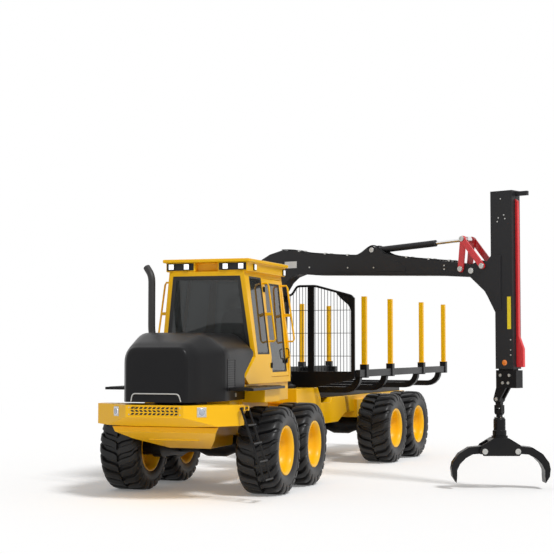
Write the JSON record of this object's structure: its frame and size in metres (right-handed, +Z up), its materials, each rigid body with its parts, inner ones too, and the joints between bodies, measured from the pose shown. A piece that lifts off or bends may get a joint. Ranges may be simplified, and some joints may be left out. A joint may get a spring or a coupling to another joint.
{
  "type": "forestry forwarder",
  "caption": "Articulated log-carrying forest machine with cab, bogie wheels, a staked bunk and a slewing loader crane with a grapple.",
  "frame": {"origin": "on the ground under the middle of the machine's box, with the crane out to its left", "axes": "+Z up, -Y the way the machine drives, +X to its left"},
  "size_m": [6.6708, 11.86, 4.73],
  "materials": {
    "black": "satin black paint",
    "charcoal": "satin charcoal paint",
    "chrome": "hard chrome",
    "glass": "tinted glass",
    "iron": "rough cast",
    "red": "gloss red paint",
    "rubber": "black rubber on yellow rims",
    "seat_cloth": "woven cloth",
    "yellow": "gloss golden yellow paint"
  },
  "bodies": {
    "rear_frame": {"rear_frame": "yellow", "rear_axle": "black", "bogie_rear_left": "black", "bogie_rear_right": "black", "gate": "black", "load_bunk": "black", "crane_base": "black"},
    "front_frame": {"front_frame": "yellow", "front_axle": "black", "bogie_front_left": "black", "bogie_front_right": "black", "bumper": "yellow", "cowl": "black", "engine": "iron", "exhaust": "black", "cab": "yellow", "windscreen": "glass", "rear_glass": "glass", "left_front_glass": "glass", "right_front_glass": "glass", "right_rear_glass": "glass", "roof": "yellow", "seat": "seat_cloth", "platform_left": "charcoal", "platform_right": "charcoal"},
    "hood": {"hood": "black"},
    "door": {"door": "yellow", "door_glass": "glass"},
    "ladder": {"ladder": "black"},
    "pillar": {"pillar": "charcoal"},
    "main_boom": {"main_boom": "charcoal"},
    "lift_barrel": {"lift_barrel": "charcoal"},
    "lift_rod": {"lift_rod": "chrome"},
    "fold_barrel": {"fold_barrel": "charcoal"},
    "fold_rod": {"fold_rod": "chrome"},
    "lower_link": {"lower_link": "red"},
    "upper_link": {"upper_link": "red"},
    "stick": {"stick": "charcoal", "hose_guard": "red"},
    "extension": {"extension": "black"},
    "hanger": {"hanger": "black"},
    "rotator": {"rotator": "black"},
    "grapple_frame": {"grapple_frame": "black"},
    "claw_left": {"claw_left": "black"},
    "claw_right": {"claw_right": "black"},
    "wheel_front_left_leading": {"wheel_front_left_leading": "rubber"},
    "wheel_front_left_trailing": {"wheel_front_left_trailing": "rubber"},
    "wheel_front_right_leading": {"wheel_front_right_leading": "rubber"},
    "wheel_front_right_trailing": {"wheel_front_right_trailing": "rubber"},
    "wheel_rear_left_leading": {"wheel_rear_left_leading": "rubber"},
    "wheel_rear_left_trailing": {"wheel_rear_left_trailing": "rubber"},
    "wheel_rear_right_leading": {"wheel_rear_right_leading": "rubber"},
    "wheel_rear_right_trailing": {"wheel_rear_right_trailing": "rubber"}
  },
  "joints": [
    {"name": "steer", "type": "hinge", "parent": "rear_frame", "child": "front_frame", "pos_m": [-1.88542, -0.93002, 0], "axis": [0, 0, 1], "range_deg": [-46.5, 37.5]},
    {"name": "wheel_front_left_leading_spin", "type": "hinge", "parent": "front_frame", "child": "wheel_front_left_leading", "pos_m": [-0.52016, -4.00238, 0.67], "axis": [0.9969, 0.0785, 0], "continuous": true},
    {"name": "wheel_front_left_trailing_spin", "type": "hinge", "parent": "front_frame", "child": "wheel_front_left_trailing", "pos_m": [-0.63628, -2.52694, 0.67], "axis": [0.9969, 0.0785, 0], "continuous": true},
    {"name": "wheel_front_right_leading_spin", "type": "hinge", "parent": "front_frame", "child": "wheel_front_right_leading", "pos_m": [-2.75325, -4.17812, 0.67], "axis": [0.9969, 0.0785, 0], "continuous": true},
    {"name": "wheel_front_right_trailing_spin", "type": "hinge", "parent": "front_frame", "child": "wheel_front_right_trailing", "pos_m": [-2.86937, -2.70269, 0.67], "axis": [0.9969, 0.0785, 0], "continuous": true},
    {"name": "wheel_rear_left_leading_spin", "type": "hinge", "parent": "rear_frame", "child": "wheel_rear_left_leading", "pos_m": [-0.76542, 2.20998, 0.67], "axis": [1, 0, 0], "continuous": true},
    {"name": "wheel_rear_left_trailing_spin", "type": "hinge", "parent": "rear_frame", "child": "wheel_rear_left_trailing", "pos_m": [-0.76542, 3.68998, 0.67], "axis": [1, 0, 0], "continuous": true},
    {"name": "wheel_rear_right_leading_spin", "type": "hinge", "parent": "rear_frame", "child": "wheel_rear_right_leading", "pos_m": [-3.00542, 2.20998, 0.67], "axis": [1, 0, 0], "continuous": true},
    {"name": "wheel_rear_right_trailing_spin", "type": "hinge", "parent": "rear_frame", "child": "wheel_rear_right_trailing", "pos_m": [-3.00542, 3.68998, 0.67], "axis": [1, 0, 0], "continuous": true},
    {"name": "hood_tilt", "type": "hinge", "parent": "front_frame", "child": "hood", "pos_m": [-1.49862, -5.84483, 1.45], "axis": [0.9969, 0.0785, 0], "range_deg": [0, 55]},
    {"name": "door_swing", "type": "hinge", "parent": "front_frame", "child": "door", "pos_m": [-0.98585, -2.01078, 2.09], "axis": [0, 0, 1], "range_deg": [0, 80]},
    {"name": "ladder_swing", "type": "hinge", "parent": "front_frame", "child": "ladder", "pos_m": [-0.37459, -5.21469, 1.36], "axis": [0.0785, -0.9969, 0], "range_deg": [0, 115]},
    {"name": "slew", "type": "hinge", "parent": "rear_frame", "child": "pillar", "pos_m": [-1.88542, -0.43002, 0], "axis": [0, 0, 1], "range_deg": [-32, 78]},
    {"name": "boom_lift", "type": "hinge", "parent": "pillar", "child": "main_boom", "pos_m": [-1.90445, -0.42388, 3.28], "axis": [-0.3074, -0.9516, 0], "range_deg": [-12, 45]},
    {"name": "lift_cylinder_tilt", "type": "hinge", "parent": "pillar", "child": "lift_barrel", "pos_m": [-2.28509, -0.30093, 2.1], "axis": [-0.3074, -0.9516, 0], "range_deg": [-2, 4]},
    {"name": "lift_cylinder_stroke", "type": "slide", "parent": "lift_barrel", "child": "lift_rod", "axis": [-0.034, 0.011, 0.9994], "range_m": [-0.385, 0.11]},
    {"name": "stick_fold", "type": "hinge", "parent": "main_boom", "child": "stick", "pos_m": [2.16552, -1.73844, 3.474], "axis": [-0.3074, -0.9516, 0], "range_deg": [-30, 45]},
    {"name": "fold_cylinder_tilt", "type": "hinge", "parent": "main_boom", "child": "fold_barrel", "pos_m": [0.24615, -1.1185, 3.904], "axis": [-0.3074, -0.9516, 0], "range_deg": [-1, 1]},
    {"name": "fold_cylinder_stroke", "type": "slide", "parent": "fold_barrel", "child": "fold_rod", "axis": [0.9504, -0.307, 0.0495], "range_m": [-0.26, 0.17]},
    {"name": "lower_link_tilt", "type": "hinge", "parent": "main_boom", "child": "lower_link", "pos_m": [1.96568, -1.67389, 3.512], "axis": [-0.3074, -0.9516, 0], "range_deg": [-20, 30]},
    {"name": "upper_link_tilt", "type": "hinge", "parent": "stick", "child": "upper_link", "pos_m": [2.37011, -1.80452, 3.542], "axis": [-0.3074, -0.9516, 0], "range_deg": [-23, 16]},
    {"name": "telescope", "type": "slide", "parent": "stick", "child": "extension", "axis": [0, 0, -1], "range_m": [0, 1.2]},
    {"name": "grapple_swing", "type": "hinge", "parent": "extension", "child": "hanger", "pos_m": [2.55853, -1.86538, 1.42], "axis": [-0.3074, -0.9516, 0], "range_deg": [-35, 35]},
    {"name": "grapple_sway", "type": "hinge", "parent": "hanger", "child": "rotator", "pos_m": [2.55853, -1.86538, 1.22], "axis": [0.9516, -0.3074, 0], "range_deg": [-35, 35]},
    {"name": "grapple_turn", "type": "hinge", "parent": "rotator", "child": "grapple_frame", "pos_m": [2.55853, -1.86538, 0], "axis": [0, 0, 1], "continuous": true},
    {"name": "claw_left_close", "type": "hinge", "parent": "grapple_frame", "child": "claw_left", "pos_m": [2.79803, -1.76421, 0.6], "axis": [-0.3891, 0.9212, 0], "range_deg": [0, 55]},
    {"name": "claw_right_close", "type": "hinge", "parent": "grapple_frame", "child": "claw_right", "pos_m": [2.31902, -1.96655, 0.6], "axis": [0.3891, -0.9212, 0], "range_deg": [0, 55]}
  ],
  "couplings": [
    {"joint": "lift_cylinder_tilt", "follows": "boom_lift", "ratio": 0.07},
    {"joint": "lift_cylinder_stroke", "follows": "boom_lift", "m_per_rad": -0.484},
    {"joint": "fold_cylinder_tilt", "follows": "stick_fold", "ratio": -0.01},
    {"joint": "fold_cylinder_stroke", "follows": "stick_fold", "m_per_rad": -0.31},
    {"joint": "lower_link_tilt", "follows": "stick_fold", "ratio": 0.65},
    {"joint": "upper_link_tilt", "follows": "stick_fold", "ratio": -0.505},
    {"joint": "claw_right_close", "follows": "claw_left_close", "ratio": 1}
  ]
}
